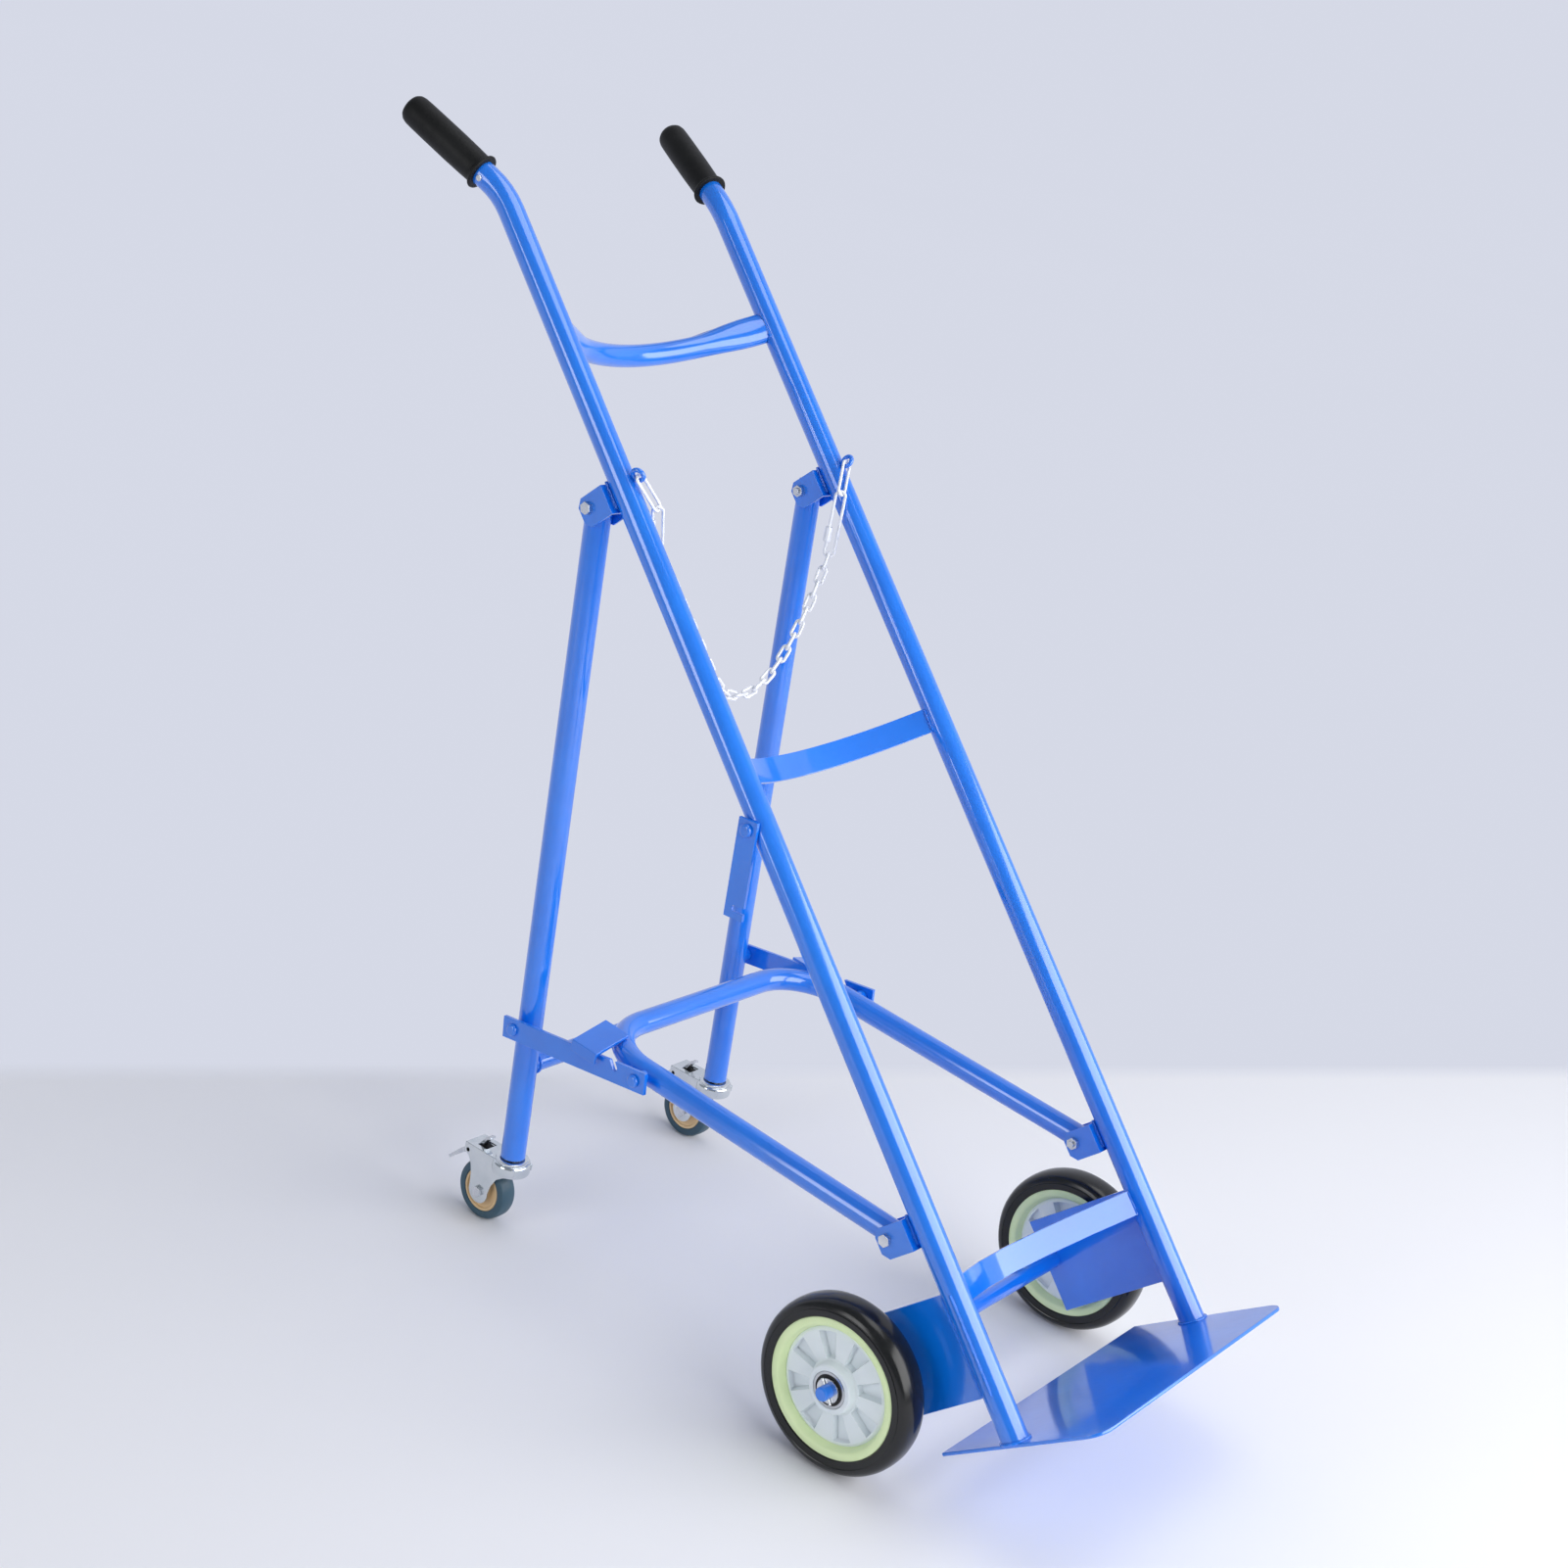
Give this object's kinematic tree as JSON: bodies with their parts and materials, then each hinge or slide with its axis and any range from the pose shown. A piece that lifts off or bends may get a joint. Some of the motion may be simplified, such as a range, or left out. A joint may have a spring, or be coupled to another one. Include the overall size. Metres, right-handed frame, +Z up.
{
  "type": "cylinder hand truck",
  "caption": "Hand truck with leaning tube uprights, bowed crossbars, toe plate, retaining chain and a folding rear leg frame on braked swivel casters.",
  "frame": {"origin": "on the floor under the middle of the overall width and length", "axes": "+X toward the truck's left wheel, +Y rearward toward the casters, +Z up"},
  "size_m": [0.55, 1.215, 1.28],
  "materials": {
    "blue_paint": "glossy powder coat",
    "zinc": "bright zinc plate",
    "grip_rubber": "satin moulded rubber",
    "tyre_rubber": "smooth moulded solid tyre",
    "wheel_ring": "pale cushion ring",
    "wheel_hub": "white nylon",
    "bearing_steel": "ground steel and dark seals",
    "caster_tread": "slate-coloured moulded rubber",
    "caster_core": "tan moulded plastic"
  },
  "bodies": {
    "frame": {"left_upright": "blue_paint", "right_upright": "blue_paint", "left_grip": "grip_rubber", "right_grip": "grip_rubber", "grip_screws": "zinc", "top_crossbar": "blue_paint", "middle_crossbar": "blue_paint", "lower_crossbar": "blue_paint", "toe_plate": "blue_paint", "left_axle_plate": "blue_paint", "right_axle_plate": "blue_paint", "front_axle": "blue_paint", "axle_spacers": "zinc", "axle_washers": "zinc", "split_pins": "zinc", "left_upper_bracket": "blue_paint", "right_upper_bracket": "blue_paint", "left_lower_bracket": "blue_paint", "right_lower_bracket": "blue_paint", "hinge_bolts": "zinc", "hinge_nuts": "zinc", "left_chain_eye": "blue_paint", "right_chain_eye": "blue_paint", "storage_stud": "blue_paint"},
    "leg_frame": {"left_rear_leg": "blue_paint", "right_rear_leg": "blue_paint", "leg_cross_tube": "blue_paint", "leg_spacers": "blue_paint", "caster_sockets": "blue_paint", "caster_stems": "zinc"},
    "brace_frame": {"brace_tube": "blue_paint", "left_catch_plate": "blue_paint", "right_catch_plate": "blue_paint", "brace_pivots": "blue_paint"},
    "left_coupler": {"left_coupler_bar": "blue_paint", "left_coupler_rivet": "blue_paint"},
    "right_coupler": {"right_coupler_bar": "blue_paint", "right_coupler_rivet": "blue_paint"},
    "storage_hook": {"storage_link": "blue_paint"},
    "chain": {"chain_links": "zinc", "left_chain_clip": "zinc", "right_snap_hook": "zinc"},
    "left_wheel": {"left_wheel_tyre": "tyre_rubber", "left_wheel_band": "wheel_ring", "left_wheel_hub": "wheel_hub", "left_wheel_bearings": "bearing_steel"},
    "left_caster": {"left_caster_fork": "zinc", "left_caster_bolt": "zinc"},
    "left_caster_wheel": {"left_caster_tread": "caster_tread", "left_caster_core": "caster_core"},
    "left_brake": {"left_brake_pedal": "zinc"},
    "right_wheel": {"right_wheel_tyre": "tyre_rubber", "right_wheel_band": "wheel_ring", "right_wheel_hub": "wheel_hub", "right_wheel_bearings": "bearing_steel"},
    "right_caster": {"right_caster_fork": "zinc", "right_caster_bolt": "zinc"},
    "right_caster_wheel": {"right_caster_tread": "caster_tread", "right_caster_core": "caster_core"},
    "right_brake": {"right_brake_pedal": "zinc"}
  },
  "joints": [
    {"name": "leg_fold", "type": "hinge", "parent": "frame", "child": "leg_frame", "pos_m": [0, 0.25612, 0.89759], "axis": [-1, 0, 0], "range_deg": [0, 22.31]},
    {"name": "brace_fold", "type": "hinge", "parent": "frame", "child": "brace_frame", "pos_m": [0, -0.31741, 0.26619], "axis": [1, 0, 0], "range_deg": [0, 39.14]},
    {"name": "left_coupler_turn", "type": "hinge", "parent": "brace_frame", "child": "left_coupler", "pos_m": [0.2195, 0.04067, 0.29185], "axis": [-1, 0, 0], "range_deg": [0, 107.92]},
    {"name": "left_wheel_spin", "type": "hinge", "parent": "frame", "child": "left_wheel", "pos_m": [0.238, -0.319, 0.1], "axis": [1, 0, 0], "continuous": true},
    {"name": "left_caster_swivel", "type": "hinge", "parent": "leg_frame", "child": "left_caster", "pos_m": [0.192, 0.222, 0.06], "axis": [0, 0, 1], "continuous": true},
    {"name": "left_caster_spin", "type": "hinge", "parent": "left_caster", "child": "left_caster_wheel", "pos_m": [0.192, 0.254, 0.038], "axis": [1, 0, 0], "continuous": true},
    {"name": "left_brake_press", "type": "hinge", "parent": "left_caster", "child": "left_brake", "pos_m": [0.192, 0.28, 0.083], "axis": [-1, 0, 0], "range_deg": [0, 8]},
    {"name": "right_coupler_turn", "type": "hinge", "parent": "brace_frame", "child": "right_coupler", "pos_m": [-0.2195, 0.04067, 0.29185], "axis": [-1, 0, 0], "range_deg": [0, 107.92]},
    {"name": "right_wheel_spin", "type": "hinge", "parent": "frame", "child": "right_wheel", "pos_m": [-0.238, -0.319, 0.1], "axis": [1, 0, 0], "continuous": true},
    {"name": "right_caster_swivel", "type": "hinge", "parent": "leg_frame", "child": "right_caster", "pos_m": [-0.192, 0.222, 0.06], "axis": [0, 0, 1], "continuous": true},
    {"name": "right_caster_spin", "type": "hinge", "parent": "right_caster", "child": "right_caster_wheel", "pos_m": [-0.192, 0.254, 0.038], "axis": [1, 0, 0], "continuous": true},
    {"name": "right_brake_press", "type": "hinge", "parent": "right_caster", "child": "right_brake", "pos_m": [-0.192, 0.28, 0.083], "axis": [-1, 0, 0], "range_deg": [0, 8]},
    {"name": "storage_hook_swing", "type": "hinge", "parent": "frame", "child": "storage_hook", "pos_m": [-0.2105, -0.03954, 0.62712], "axis": [-1, 0, 0], "range_deg": [-60, 60]},
    {"name": "chain_swing", "type": "hinge", "parent": "frame", "child": "chain", "pos_m": [0, 0.20915, 0.94702], "axis": [-1, 0, 0], "range_deg": [0, 35]}
  ],
  "couplings": [
    {"joint": "brace_fold", "follows": "leg_fold", "ratio": 1.7519},
    {"joint": "left_coupler_turn", "follows": "leg_fold", "ratio": 4.8352},
    {"joint": "right_coupler_turn", "follows": "leg_fold", "ratio": 4.8352}
  ]
}
